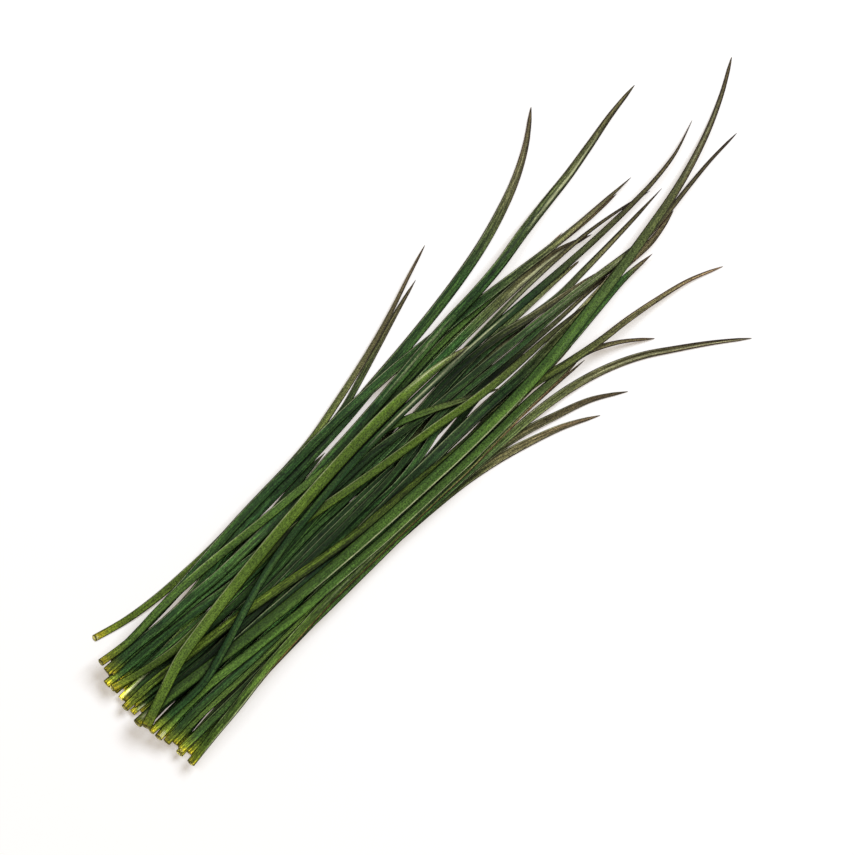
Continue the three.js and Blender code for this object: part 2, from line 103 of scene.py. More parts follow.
BLADES = {
    "leaf_01": dict(light=(2.0, 1.5, 1.3, 0.8), warm=0.2, crease=0.8, dry_from=0.6, dry=0.8),
    "leaf_02": dict(light=(1.0, 1.0, 0.9, 0.9), crease=0.8, dry_from=0.6, dry=0.8),
    "leaf_03": dict(fill=1.12),
    "leaf_04": dict(light=(2.2, 0.4), dry_from=0.95, fill=1.14),
    "leaf_05": dict(fill=1.14),
    "leaf_06": dict(fill=1.14),
    "leaf_07": dict(light=(1.8,), fill=1.14),
    "leaf_08": dict(fill=1.14),
    "leaf_09": dict(light=(2.0,), fill=1.1),
    "leaf_10": dict(light=(4.0,)),
    "leaf_11": dict(light=(0.5,), dry_from=0.95),
    "leaf_12": dict(light=(0.8,), dry_from=0.66),
    "leaf_13": dict(light=(2.3,), dry_from=0.5, dry=0.7),
    "leaf_14": dict(base=3.0, light=(0.7,), warm=0.3, young=14.0, slant=1.0),
    "leaf_15": dict(light=(4.0,)),
    "leaf_16": dict(base=0.6, light=(2.0, 3.5), tilt=(-0.2,), warm=0.25),
    "leaf_17": dict(
        base=2.4, light=(0.95, 1.6, 1.2, 0.9), tilt=(0.3, 0.0), warm=0.1, crease=0.8, dry_from=0.55, dry=0.75,
        marks=[*RIMS, ("painted_highlight", 0.2, 0.2, 155, 215, 0.45)],
    ),
    "leaf_18": dict(light=(4.0,), warm=0.2),
    "leaf_19": dict(light=(0.3, 0.15, 0.7, 1.8), dry_from=0.75, marks=[("painted_highlight", -0.8, 0.07, 118, 144, 0.8)]),
    "leaf_20": dict(
        light=(0.95, 1.15, 0.85), tilt=(0.1, 0.4, -0.2), warm=0.35, young=16.0, slant=1.2, dry_from=0.5,
        dry=0.8, streak=0.6,
        marks=[*RIMS, ("painted_highlight", 0.3, 0.4, 0, 2, 0.9)],
    ),
    "leaf_21": dict(
        light=(1.5, 0.95, 0.85, 0.8, 1.0), tilt=(-0.1, 0.2, 0.1, 0.0), crease=0.35, dry_from=0.74, dry=0.7,
        marks=[
            RIMS[0], ("painted_shade", -0.4, 0.3, 60, 125, 0.5), ("rust", -0.97, 0.09, 55, 125, 0.8),
            ("painted_highlight", -0.1, 0.12, 170, 200, 0.25),
        ],
    ),
    "leaf_22": dict(
        base=1.8, light=(0.85, 1.2, 1.5, 0.8), crease=0.9, dry_from=0.75, dry=0.8,
        marks=[*RIMS, ("painted_highlight", 0.5, 0.25, 160, 190, 0.8)],
    ),
    "leaf_23": dict(
        base=2.5, light=(0.7, 1.2, 1.0, 0.8, 0.6), tilt=(-0.2, -0.2, 0.2), tip=10.0,
        marks=[*RIMS, ("painted_highlight", 0.6, 0.35, 1.5, 5, 1.0)],
    ),
    "leaf_24": dict(base=2.5, light=(0.65, 0.7, 2.8), tilt=(0.1,), dry=0.3, tip=1.0),
    "leaf_25": dict(
        base=2.5, light=(2.2, 2.0, 1.2, 1.5), young=12.0, dry_from=0.7, dry=0.35, tip=0.8,
        marks=[*RIMS, ("painted_highlight", 0.1, 0.35, 0.5, 13, 1.0), ("painted_shade", 0.75, 0.15, 0, 16, 0.8)],
    ),
    "leaf_26": dict(light=(0.7, 0.9, 0.1, 1.0), tilt=(0.0, 0.3, -0.2)),
    "leaf_27": dict(light=(0.6, 0.8, 0.25, 0.9), tilt=(-0.2, 0.5, -0.3), dry_from=0.75),
    "leaf_28": dict(light=(1.3, 1.1, 1.7)),
    "leaf_29": dict(base=5.0, light=(0.22, 0.38, 0.75, 0.8), tilt=(0.2, 0.1, 0.2), dry_from=0.8),
    "leaf_30": dict(
        light=(0.8, 0.6, 0.6, 2.6, 0.7), tilt=(-0.3, 0.3, -0.4, 0.0), crease=0.7, dry_from=0.66, dry=0.7,
    ),
    "leaf_31": dict(
        light=(1.0, 3.0, 0.6, 0.6, 0.7), tilt=(0.2, 0.0), dry_from=0.66, dry=0.7,
        marks=[*RIMS, ("painted_highlight", 0.3, 0.25, 150, 180, 0.6)],
    ),
    "leaf_32": dict(
        light=(0.9, 1.0, 1.0, 0.9), tilt=(0.2, 0.0), dry_from=0.95, dry=1.0,
        marks=[*RIMS, ("rust", 0.0, 1.5, 197, 215, 0.9), ("rust", 0.85, 0.2, 180, 215, 0.6)],
    ),
    "leaf_33": dict(
        base=2.0, light=(1.5, 0.45, 0.45, 0.9, 0.6), tilt=(-0.2, -0.5, -0.1), dry_from=0.66, dry=0.7,
        marks=[*RIMS, ("painted_highlight", 0.0, 0.2, 150, 200, 0.35)],
    ),
    "leaf_34": dict(light=(0.75, 0.95, 1.0, 1.3, 0.75), tilt=(-0.4, -0.4, 0.1), tip=9.0),
    "leaf_35": dict(
        light=(1.1, 1.15, 1.9), tilt=(0.2, -0.4, -0.2), warm=0.15, young=9.0, slant=1.0,
        marks=[
            *RIMS, ("rust", 0.9, 0.16, 28, 170, 0.9), ("painted_highlight", 0.8, 0.08, 2, 38, 0.9),
            ("painted_shade", 0.98, 0.07, 0, 40, 0.9), ("painted_highlight", 0.05, 0.08, 55, 115, 0.35),
            ("painted_shade", 0.3, 0.2, 50, 120, 0.6),
        ],
    ),
    "leaf_36": dict(
        light=(1.0, 0.85, 0.65, 1.1), tilt=(0.5, 0.5, 0.4, 0.0), young=9.0, slant=1.0, dry_from=0.75, dry=0.7,
        streak=0.6,
        marks=[("painted_highlight", 0.8, 0.07, 62, 150, 0.7), ("painted_highlight", 0.3, 0.3, 0.3, 3.5, 1.0)],
    ),
    "leaf_37": dict(
        base=0.7, light=(1.2, 0.75, 0.95, 0.85, 0.85), tilt=(0.0, -0.4, 0.0), dry_from=0.7, dry=0.5,
        marks=[
            RIMS[0], ("painted_highlight", 0.38, 0.2, 176, 216, 1.0), ("painted_shade", 0.75, 0.15, 176, 220, 0.9),
            ("painted_highlight", -0.85, 0.07, 60, 100, 0.5), ("painted_highlight", 0.05, 0.06, 110, 145, 0.6),
        ],
    ),
    "leaf_38": dict(
        base=1.3, light=(0.9, 0.6, 0.3, 0.95, 3.6), tilt=(-0.1, -0.3, 0.2), warm=0.15, young=10.0, slant=0.9,
        crease=0.8, dry_from=0.66, dry=0.75,
        marks=[("painted_shade", 0.9, 0.3, 10, 120, 0.7)],
    ),
    "leaf_39": dict(
        base=0.7, light=(0.9,), tilt=(-0.15,), warm=0.05, young=12.0, slant=1.0, dry_from=0.8, dry=0.3,
        streak=0.6,
        marks=[("painted_highlight", -0.85, 0.07, 30, 80, 0.6)],
    ),
    "leaf_40": dict(
        base=1.2, light=(0.6, 0.82, 1.0, 0.8, 0.7), tilt=(0.5, 0.4, 0.4, 0.2), slant=1.1, dry_from=0.66,
        dry=0.65, streak=0.4,
        marks=[
            ("painted_highlight", 0.82, 0.08, 62, 148, 1.0), ("painted_highlight", 0.1, 0.15, 222, 256, 0.5),
            ("painted_highlight", -0.25, 0.3, 2, 7, 1.0),
        ],
    ),
    "leaf_41": dict(
        base=2.0, light=(0.5, 0.7, 0.8, 0.15), tilt=(-0.4, 0.0, -0.3), young=11.0, slant=0.9, dry_from=0.75,
        dry=0.4, streak=0.4,
        marks=[("painted_highlight", -0.85, 0.08, 8, 150, 0.6)],
    ),
    "leaf_42": dict(
        base=2.2, light=(0.8, 0.85, 0.6, 0.85, 0.65), tilt=(0.3, 0.0, -0.3, 0.0), young=9.0, slant=0.8,
        dry_from=0.7, dry=0.7, tip=14.0, streak=0.6,
        marks=[
            ("painted_highlight", 0.0, 0.08, 104, 142, 0.9), ("painted_highlight", -0.35, 0.14, 132, 165, 1.0),
            ("painted_highlight", 0.35, 0.06, 112, 160, 0.5),
        ],
    ),
    "leaf_43": dict(
        base=0.6, light=(1.1, 0.9, 1.0), tilt=(0.1, -0.1, -0.5), young=6.0, slant=0.9, crease=0.3,
        dry_from=0.9, dry=0.4, streak=0.4,
        marks=[("painted_highlight", -0.85, 0.06, 8, 140, 0.6), ("painted_highlight", -0.5, 0.15, 122, 142, 0.9)],
    ),
}

# Leaf colours, linear
SLOT_COLOURS = {
    "leaf_bright": (0.090, 0.152, 0.019),
    "leaf_fresh": (0.055, 0.117, 0.020),
    "leaf_mid": (0.033, 0.087, 0.021),
    "leaf_deep": (0.023, 0.067, 0.016),
    "leaf_dusky": (0.017, 0.055, 0.014),
}
YELLOW_GREEN = (0.160, 0.190, 0.016)  # light patches and the base
OCHRE = (0.340, 0.280, 0.016)  # the last millimetres at the cut
OLIVE = (0.124, 0.120, 0.048)  # where a leaf starts to dry
BROWN = (0.110, 0.080, 0.042)  # its dry tip
MAROON = (0.028, 0.012, 0.008)  # painted shade along the edges of the dry tip, brownish
PITH = (0.620, 0.560, 0.180)  # the cut face and the hollow
# The marks' colours: a painted highlight, painted shade, and rust brown
MARKS = {
    "painted_highlight": (0.680, 0.700, 0.400),
    "painted_shade": (0.012, 0.022, 0.008),
    "rust": (0.150, 0.068, 0.030),
}

# What the materials vary with. Noises are scaled by half widths across a blade, and by steps of
# 1 / GRAIN_ALONG mm along it.
VEIN_NOISE = dict(across=2.7, lengthwise=0.8, detail=3.0, roughness=0.7)
THREAD_NOISE = dict(across=11.0, lengthwise=5.0)
PATCH_NOISE = dict(across=0.9, lengthwise=0.8)
GRAIN_ALONG = 0.05
SPECKLE_SCALE = 2.6 / MM
CREVICE_REACH = 1.6 * MM  # how near other blades must lie for the painted crevice shade to darken a blade
CUT_RINGS = (0.55, 1.02, 1.0, 0.0)  # how much of the cut face's colour each rim ring has
WITHERED = (0.0, 0.35)  # the range of dry over which a leaf counts as withered
UPPER_SIDE = (-0.1, 0.3)  # from the middle of the side to its upper shoulder
GREEN_EDGE_SHADE = (0.07, 0.31, 1.0, 0.0)  # painted shade along a green blade's upper edges: how deep, by the mm inwards from the edge
# the same painted shade along a dry tip's edges, brownish, by the mm inwards from the edge
DRY_EDGE_SHADE = (0.17, 0.37, 1.0, 0.0)
GLEAM, GLEAM_WIDTH = 0.25, 0.35  # painted highlight: how much lighter the crease of a dry tip is, and how far across

# How noises and attributes turn into colour and shade: each as a range, and what that is mapped to,
# which is 0 to 1 where it isn't given
PATCH_YELLOW = (0.35, 0.7)
PATCH_TINT = 0.12  # how much of that yellow the slot's colour takes
RAGGEDNESS = 0.9  # how much the veins shift the colours of the base and the tip
YOUNG_YELLOW = (0.0, 0.7, 0.0, 0.8)
YOUNG_OCHRE = (0.78, 1.05)
DRY_OLIVE = (0.0, 0.4)
DRY_BROWN = (0.32, 0.72)
# how the painted highlights break up along their length
BROKEN_LINE = (0.35, 0.6, 0.45, 1.0)
VEIN_SHADE = (0.38, 0.62, -0.58, 0.55)
THREAD_SHADE = (0.36, 0.64, -0.5, 0.54)
GROOVE_SHADE = (0.0, 0.035, 0.65, 0.0)
PATCH_SHADE = (0.3, 0.7, 0.8, 1.2)
SPECKLE_SHADE = (0.3, 0.7, 0.2, 1.84)
YOUNG_SHADE = (0.0, 0.8, 1.0, 1.3)
# painted shade where blades lie close together
PAINTED_CREVICE_SHADE = (0.35, 0.9, 0.0, 1.13)
THREAD_RELIEF = 0.5  # over the veins' relief
BUMP_STRENGTH, BUMP_DISTANCE = 0.35, 0.12 * MM
ROUGHNESS = (0.3, 0.7, 0.5, 0.65)
LEAF_IOR, LEAF_SPECULAR = 1.4, 0.18

# Light, floor and camera
LIGHT_COLOUR = (0.97, 1.0, 1.03)
LIGHTS = {  # azimuth from +X towards +Y, elevation, distance and size in m, power in W
    "key": (0, 61, 2.6, 1.0, 53.5),
    "edge": (95, 72, 2.6, 0.6, 10.0),
}
WORLD_STRENGTH = 0.15
WORLD_COLOUR = (1.0, 0.88, 0.68)
WHITE = (1.0, 1.0, 1.0)
FLOOR_HALF_SIZE = 4.0
FLOOR_DROP = 0.05 * MM  # below the bunch, so that the two don't share a plane
FLOOR_COLOUR = (0.74, 0.76, 0.80)
FLOOR_GLOW, GLOW_COLOUR = 0.38, (1.0, 0.87, 0.75)
LENS, SENSOR = 200.0, 36.0  # mm
CAMERA_SPAN = 0.24795  # metres of the floor from side to side of the frame
CAMERA_AT = (-9.54 * MM, 3.41 * MM)
CAMERA_TURN = math.radians(-46)


def add(tree, kind, sources=None, **settings):
    """A new node, with its settings, and its inputs linked to sockets or set to values."""
    node = tree.nodes.new(kind)
    for name, value in settings.items():
        setattr(node, name, value)
    for name, value in (sources or {}).items():
        if isinstance(value, bpy.types.NodeSocket):
            tree.links.new(value, node.inputs[name])
        else:
            node.inputs[name].default_value = value
    return node


def calc(tree, operation, *values, clamp=False):
    """The result of a Math node."""
    sources = dict(enumerate(values))
    return add(tree, "ShaderNodeMath", sources, operation=operation, use_clamp=clamp).outputs[0]


def vector_calc(tree, operation, *values):
    """The vector result of a Vector Math node."""
    node = tree.nodes.new("ShaderNodeVectorMath")
    node.operation = operation
    for index, value in enumerate(values):
        name = "Scale" if operation == "SCALE" and index == 1 else index
        if isinstance(value, bpy.types.NodeSocket):
            tree.links.new(value, node.inputs[name])
        else:
            node.inputs[name].default_value = value
    return node.outputs["Vector"]


def mapped(tree, value, low, high, to_low=0.0, to_high=1.0, smooth=False):
    """value mapped from one range to another, clamped."""
    kind = "SMOOTHSTEP" if smooth else "LINEAR"
    inputs = {"Value": value, "From Min": low, "From Max": high, "To Min": to_low, "To Max": to_high}
    return add(tree, "ShaderNodeMapRange", inputs, interpolation_type=kind).outputs["Result"]


def signed_power(tree, value, exponent):
    """value's size raised to a power, with its sign kept."""
    size = calc(tree, "POWER", calc(tree, "ABSOLUTE", value), exponent)
    return calc(tree, "MULTIPLY", size, calc(tree, "SIGN", value))


def bell(tree, value, middle, width):
    """1 at the middle, and less the further value lies from it."""
    off = calc(tree, "DIVIDE", calc(tree, "SUBTRACT", value, middle), width)
    return calc(tree, "EXPONENT", calc(tree, "MULTIPLY", calc(tree, "MULTIPLY", off, off), -1.0))


def combined(tree, x, y, z):
    """A vector from three numbers."""
    return add(tree, "ShaderNodeCombineXYZ", {"X": x, "Y": y, "Z": z}).outputs["Vector"]


def captured_index(tree, curve):
    """A curve that carries its points' numbers, and the numbers as a field."""
    number = add(tree, "GeometryNodeSplineParameter").outputs["Index"]
    node = tree.nodes.new("GeometryNodeCaptureAttribute")
    node.capture_items.new("INT", "Number")
    tree.links.new(curve, node.inputs["Geometry"])
    tree.links.new(number, node.inputs["Number"])
    return node.outputs["Geometry"], node.outputs["Number"]


BLADE_INPUTS = {
    "Rings": ("NodeSocketInt", 200),
    "Sides": ("NodeSocketInt", SIDES),
    "Rim Rings": ("NodeSocketInt", RIM_RINGS),
    "Flatness": ("NodeSocketFloat", FLATNESS),
    "Squareness": ("NodeSocketFloat", SQUARENESS),
    "Fill": ("NodeSocketFloat", 1.0),
    "Bore Share": ("NodeSocketFloat", BORE_SHARE),
    "Bore Depth": ("NodeSocketFloat", BORE_DEPTH),
    "Slant": ("NodeSocketFloat", 0.5 * MM),
    "Tip Length": ("NodeSocketFloat", 4 * MM),
    "Rib Count": ("NodeSocketInt", RIB_COUNT),
    "Rib Depth": ("NodeSocketFloat", RIB_DEPTH),
    "Crease": ("NodeSocketFloat", 0.5),
    "Roll": ("NodeSocketFloat", ROLL),
    "Waviness": ("NodeSocketFloat", WAVINESS),
    "Seed": ("NodeSocketFloat", 0.0),
    "Young Length": ("NodeSocketFloat", 4.0),
    "Dry From": ("NodeSocketFloat", 0.72),
    "Dry Amount": ("NodeSocketFloat", 0.7),
    "Warmth": ("NodeSocketFloat", 0.0),
    "Lightness": ("NodeSocketFloat", 1.0),
    "Edge Shade": ("NodeSocketFloat", 0.9),
    "Streak": ("NodeSocketFloat", 1.0),
    "Material": ("NodeSocketMaterial", None),
}


def blade_tree():
    """The tree that sweeps a blade along a spine, which carries its half widths as radii."""
    tree = bpy.data.node_groups.new("blade", "GeometryNodeTree")
    face = tree.interface
    face.new_socket("Spine", in_out="INPUT", socket_type="NodeSocketGeometry")
    for name, (kind, value) in BLADE_INPUTS.items():
        socket = face.new_socket(name, in_out="INPUT", socket_type=kind)
        if value is not None:
            socket.default_value = value
    face.new_socket("Blade", in_out="OUTPUT", socket_type="NodeSocketGeometry")
    given = add(tree, "NodeGroupInput").outputs

    # the spine as a smooth curve
    smooth = add(tree, "GeometryNodeCurveSplineType", {"Curve": given["Spine"]}, spline_type="CATMULL_ROM")
    fine = add(tree, "GeometryNodeSetSplineResolution", {"Geometry": smooth.outputs[0], "Resolution": 10})
    spine = fine.outputs[0]
    length = add(tree, "GeometryNodeCurveLength", {"Curve": spine}).outputs["Length"]

    # a plain tube of rings, each point with its ring's number and its place in the ring
    line = add(tree, "GeometryNodeCurvePrimitiveLine").outputs["Curve"]
    rings = add(tree, "GeometryNodeResampleCurve", {"Curve": line, "Count": given["Rings"]})
    axis, ring = captured_index(tree, rings.outputs["Curve"])
    circle = add(tree, "GeometryNodeCurvePrimitiveCircle", {"Resolution": given["Sides"]})
    profile, place = captured_index(tree, circle.outputs["Curve"])
    tube = add(tree, "GeometryNodeCurveToMesh", {"Curve": axis, "Profile Curve": profile}).outputs["Mesh"]
    turn = calc(tree, "MULTIPLY", calc(tree, "DIVIDE", place, given["Sides"]), math.tau)
    cosine = calc(tree, "COSINE", turn)
    sine = calc(tree, "SINE", turn)

    # how far each ring lies from the cut: down the hollow, over the cut face, and out to the tip
    rim = calc(tree, "DIVIDE", ring, given["Rim Rings"])
    last = calc(tree, "SUBTRACT", calc(tree, "SUBTRACT", given["Rings"], 1), given["Rim Rings"])
    out = calc(tree, "DIVIDE", calc(tree, "SUBTRACT", ring, given["Rim Rings"]), last, clamp=True)
    crowding = calc(tree, "SINE", calc(tree, "MULTIPLY", out, math.tau))
    crowding = calc(tree, "MULTIPLY", crowding, RING_CROWDING / math.tau)
    outside = calc(tree, "MULTIPLY", calc(tree, "SUBTRACT", out, crowding), length)
    inside = calc(tree, "MULTIPLY", mapped(tree, rim, 0.0, HOLLOW_SHARE, 1.0, 0.0), given["Bore Depth"])
    level = calc(tree, "ADD", outside, inside)
    behind = calc(tree, "MULTIPLY", calc(tree, "ADD", sine, 1.0), calc(tree, "MULTIPLY", given["Slant"], 0.5))
    fade = calc(tree, "EXPONENT", calc(tree, "DIVIDE", level, calc(tree, "MULTIPLY", given["Slant"], -2.0)))
    away = calc(tree, "MINIMUM", calc(tree, "ADD", level, calc(tree, "MULTIPLY", behind, fade)), length)
    share = calc(tree, "DIVIDE", away, length)

    # the spine's place, direction and half width there
    radius = add(tree, "GeometryNodeInputRadius").outputs[0]
    sample = add(
        tree, "GeometryNodeSampleCurve", {"Curves": spine, "Value": radius, "Length": away}, mode="LENGTH"
    ).outputs
    side = vector_calc(tree, "NORMALIZE", vector_calc(tree, "CROSS_PRODUCT", sample["Tangent"], (0, 0, 1)))
    up = vector_calc(tree, "CROSS_PRODUCT", side, sample["Tangent"])

    # the section: a rounded flat oval with low ribs, a crease and small waves in its width
    distance = calc(tree, "MULTIPLY", away, 1 / MM)
    seeded = calc(tree, "MULTIPLY", given["Seed"], SEED_STEP)
    wave_at = combined(tree, calc(tree, "MULTIPLY", distance, WAVE_RATE), seeded, 0.0)
    wave = add(tree, "ShaderNodeTexNoise", {"Vector": wave_at, "Scale": 1.0, "Detail": 2.0}).outputs["Fac"]
    waving = calc(tree, "MULTIPLY", calc(tree, "SUBTRACT", wave, 0.5), given["Waviness"])
    rib_turn = calc(tree, "ADD", calc(tree, "MULTIPLY", turn, given["Rib Count"]), given["Seed"])
    ribs = calc(tree, "MULTIPLY", calc(tree, "COSINE", rib_turn), given["Rib Depth"])
    hollow = calc(tree, "SQRT", mapped(tree, rim, 0.0, FLOOR_SHARE))
    wall = calc(tree, "MULTIPLY", mapped(tree, rim, HOLLOW_SHARE, 1.0, given["Bore Share"], 1.0), hollow)
    left = calc(tree, "SUBTRACT", length, away)
    rounding = calc(tree, "SQRT", mapped(tree, left, 0.0, given["Tip Length"]))
    size = calc(tree, "ADD", calc(tree, "ADD", waving, ribs), 1.0)
    size = calc(tree, "MULTIPLY", calc(tree, "MULTIPLY", size, wall), rounding)
    reach = calc(tree, "MULTIPLY", size, sample["Value"])
    reach = calc(tree, "MULTIPLY", reach, given["Fill"])
    exponent = calc(tree, "DIVIDE", 2.0, given["Squareness"])
    across = signed_power(tree, cosine, exponent)
    over = signed_power(tree, sine, exponent)
    fold = calc(tree, "MULTIPLY", bell(tree, across, CREASE_AT, CREASE_WIDTH), mapped(tree, over, 0.0, 0.7))
    deepens = mapped(tree, share, *CREASE_DEEPENS, smooth=True)
    fold = calc(tree, "MULTIPLY", calc(tree, "MULTIPLY", fold, deepens), given["Crease"])
    x = calc(tree, "MULTIPLY", across, reach)
    thickness = calc(tree, "MULTIPLY", reach, given["Flatness"])
    y = calc(tree, "MULTIPLY", calc(tree, "SUBTRACT", over, fold), thickness)
    roll_at = combined(tree, calc(tree, "MULTIPLY", distance, ROLL_RATE), seeded, 4.0)
    roll = add(tree, "ShaderNodeTexNoise", {"Vector": roll_at, "Scale": 1.0, "Detail": 1.0}).outputs["Fac"]
    most = calc(tree, "MULTIPLY", given["Roll"], 4.0)  # the noise rarely strays 0.25 from its middle
    angle = calc(tree, "MULTIPLY", calc(tree, "SUBTRACT", roll, 0.5), most)
    flat = {"Vector": combined(tree, x, y, 0.0), "Angle": angle}
    turned = add(tree, "ShaderNodeVectorRotate", flat, rotation_type="Z_AXIS").outputs["Vector"]
    turned = add(tree, "ShaderNodeSeparateXYZ", {"Vector": turned}).outputs
    sideways = vector_calc(tree, "SCALE", side, turned["X"])
    upward = vector_calc(tree, "SCALE", up, turned["Y"])
    spot = vector_calc(tree, "ADD", sample["Position"], vector_calc(tree, "ADD", sideways, upward))
    spot = vector_calc(tree, "MAXIMUM", spot, (-1.0, -1.0, 0.0))
    blade = add(tree, "GeometryNodeSetPosition", {"Geometry": tube, "Position": spot}).outputs[0]

    # what the materials read
    cut = mapped(tree, rim, *CUT_RINGS)
    young = mapped(tree, distance, 0.0, given["Young Length"], 1.0, 0.0, smooth=True)
    dry = calc(tree, "MULTIPLY", mapped(tree, share, given["Dry From"], 1.0), given["Dry Amount"])
    grain_at = calc(tree, "ADD", calc(tree, "MULTIPLY", distance, GRAIN_ALONG), seeded)
    grain = combined(tree, across, over, grain_at)
    inwards = calc(tree, "SUBTRACT", 1.0, calc(tree, "ABSOLUTE", across))
    inwards = calc(tree, "MULTIPLY", inwards, calc(tree, "DIVIDE", sample["Value"], MM))
    withered = mapped(tree, dry, *WITHERED)
    upper = mapped(tree, over, *UPPER_SIDE)
    # painted shade along the upper edges: in the light of a green blade, and as a brownish colour on a
    # withered one
    green_edge_shade = calc(tree, "MULTIPLY", mapped(tree, inwards, *GREEN_EDGE_SHADE, smooth=True), upper)
    green_edge_shade = calc(tree, "MULTIPLY", green_edge_shade, calc(tree, "SUBTRACT", 1.0, withered))
    dry_edge_shade = calc(tree, "MULTIPLY", mapped(tree, inwards, *DRY_EDGE_SHADE, smooth=True), upper)
    dry_edge_shade = calc(tree, "MULTIPLY", dry_edge_shade, withered)
    light = calc(tree, "SUBTRACT", 1.0, calc(tree, "MULTIPLY", green_edge_shade, given["Edge Shade"]))
    # a painted highlight along the crease of a dry tip
    gleam = calc(tree, "MULTIPLY", bell(tree, across, CREASE_AT, GLEAM_WIDTH), withered)
    gleam = calc(tree, "MULTIPLY", gleam, GLEAM)
    light = calc(tree, "MULTIPLY", light, calc(tree, "ADD", gleam, 1.0))
    light = calc(tree, "MULTIPLY", light, given["Lightness"])
    fields = [
        ("grain", "FLOAT_VECTOR", grain),
        ("cut", "FLOAT", cut),
        ("young", "FLOAT", young),
        ("dry", "FLOAT", dry),
        ("warm", "FLOAT", given["Warmth"]),
        ("light", "FLOAT", light),
        ("streak", "FLOAT", given["Streak"]),
        ("dry_edge_shade", "FLOAT", dry_edge_shade),
        ("place", "FLOAT_VECTOR", combined(tree, across, over, distance)),
    ]
    for name, kind, value in fields:
        sources = {"Geometry": blade, "Name": name, "Value": value}
        stored = add(tree, "GeometryNodeStoreNamedAttribute", sources, data_type=kind, domain="POINT")
        blade = stored.outputs[0]

    blade = add(tree, "GeometryNodeMergeByDistance", {"Geometry": blade, "Distance": WELD}).outputs[0]
    blade = add(tree, "GeometryNodeFlipFaces", {"Mesh": blade}).outputs[0]  # so that they face outwards
    blade = add(tree, "GeometryNodeSetShadeSmooth", {"Geometry": blade}).outputs[0]
    blade = add(tree, "GeometryNodeRealizeInstances", {"Geometry": blade}).outputs[0]
    dressed = {"Geometry": blade, "Material": given["Material"]}
    blade = add(tree, "GeometryNodeSetMaterial", dressed).outputs[0]
    tree.links.new(blade, add(tree, "NodeGroupOutput").inputs["Blade"])
    return tree


def stations_of(node):
    """The centres and half widths of a CAD leaf's rings, from its cut to its tip.

    The middle of the small flat face at the tip is the one point that lies at the mean of its
    neighbours. From there each step along the edges reaches the next ring of points.
    """
    solid = bmesh.new()
    solid.from_mesh(frame["nodes"][node].data)
    bmesh.ops.remove_doubles(solid, verts=solid.verts, dist=WELD)

    def offset(vertex):
        around = [edge.other_vert(vertex).co for edge in vertex.link_edges]
        return (sum(around, Vector()) / len(around) - vertex.co).length

    ring = [min(solid.verts, key=offset)]
    seen = set(ring)
    stations = []
    while ring:
        reached = {edge.other_vert(vertex) for vertex in ring for edge in vertex.link_edges} - seen
        ring = sorted(reached, key=lambda vertex: vertex.index)
        seen |= reached
        if len(ring) > 1:
            centre = sum((vertex.co for vertex in ring), Vector()) / len(ring)
            half_width = max((vertex.co - centre).length for vertex in ring)
            stations.append((centre, half_width))
    solid.free()
    return stations[-2::-1]  # the last ring is the mouth of the hollow


def blade_inputs(look, number, length):
    """The values of the blade tree's inputs for one leaf."""
    draw = math.sin(number * 12.9898) * 43758.5453 % 1  # a fixed draw from 0 to 1
    return {
        "Rings": RIM_RINGS + round(length / RING_STEP),
        "Slant": look["slant"] * MM,
        "Tip Length": look["tip"] * MM,
        "Crease": look["crease"],
        "Seed": float(number),
        "Young Length": look["young"],
        "Dry From": look["dry_from"],
        "Dry Amount": look["dry"],
        "Warmth": look["warm"],
        "Lightness": 0.95 + 0.1 * draw,
        "Edge Shade": look["edge"],
        "Streak": look["streak"],
        "Fill": look["fill"],
    }


def along(values, distance):
    """The value at a distance from the cut, between those given for STATIONS."""
    for i, (start, end) in enumerate(zip(STATIONS, STATIONS[1:])):
        if i + 1 < len(values) and distance < end:
            share = max(0.0, (distance - start) / (end - start))
            return values[i] + (values[i + 1] - values[i]) * share
    return values[-1]


def paint_light(mesh, light, base, tilt):
    """Painted light and shade: makes a blade lighter or darker along its length, from edge to edge, and at
    its cut end.
    """
    stored = mesh.attributes["light"].data
    for item, place in zip(stored, mesh.attributes["place"].data):
        across, _, distance = place.vector
        near_cut = max(0.0, 1.0 - distance / BASE_LENGTH)
        item.value *= along(light, distance) * (1.0 + along(tilt, distance) * across)
        item.value *= 1.0 + (base - 1.0) * near_cut


def paint_marks(mesh, marks):
    """Stores how strongly each kind of mark shows at each point of a blade: painted highlights, painted shade
    and rust.
    """
    places = [value.vector for value in mesh.attributes["place"].data]
    for kind in MARKS:
        strengths = [0.0] * len(places)
        for mark, across, half_width, start, end, strength in marks:
            if mark != kind:
                continue
            fade = min(MARK_FADE, (end - start) / 3)
            for i, (x, over, distance) in enumerate(places):
                if over > 0.0 and start < distance < end:
                    near = math.exp(-(((x - across) / half_width) ** 2))
                    shown = min(1.0, (distance - start) / fade, (end - distance) / fade)
                    strengths[i] = max(strengths[i], strength * near * shown)
        mesh.attributes.new(kind, "FLOAT", "POINT").data.foreach_set("value", strengths)


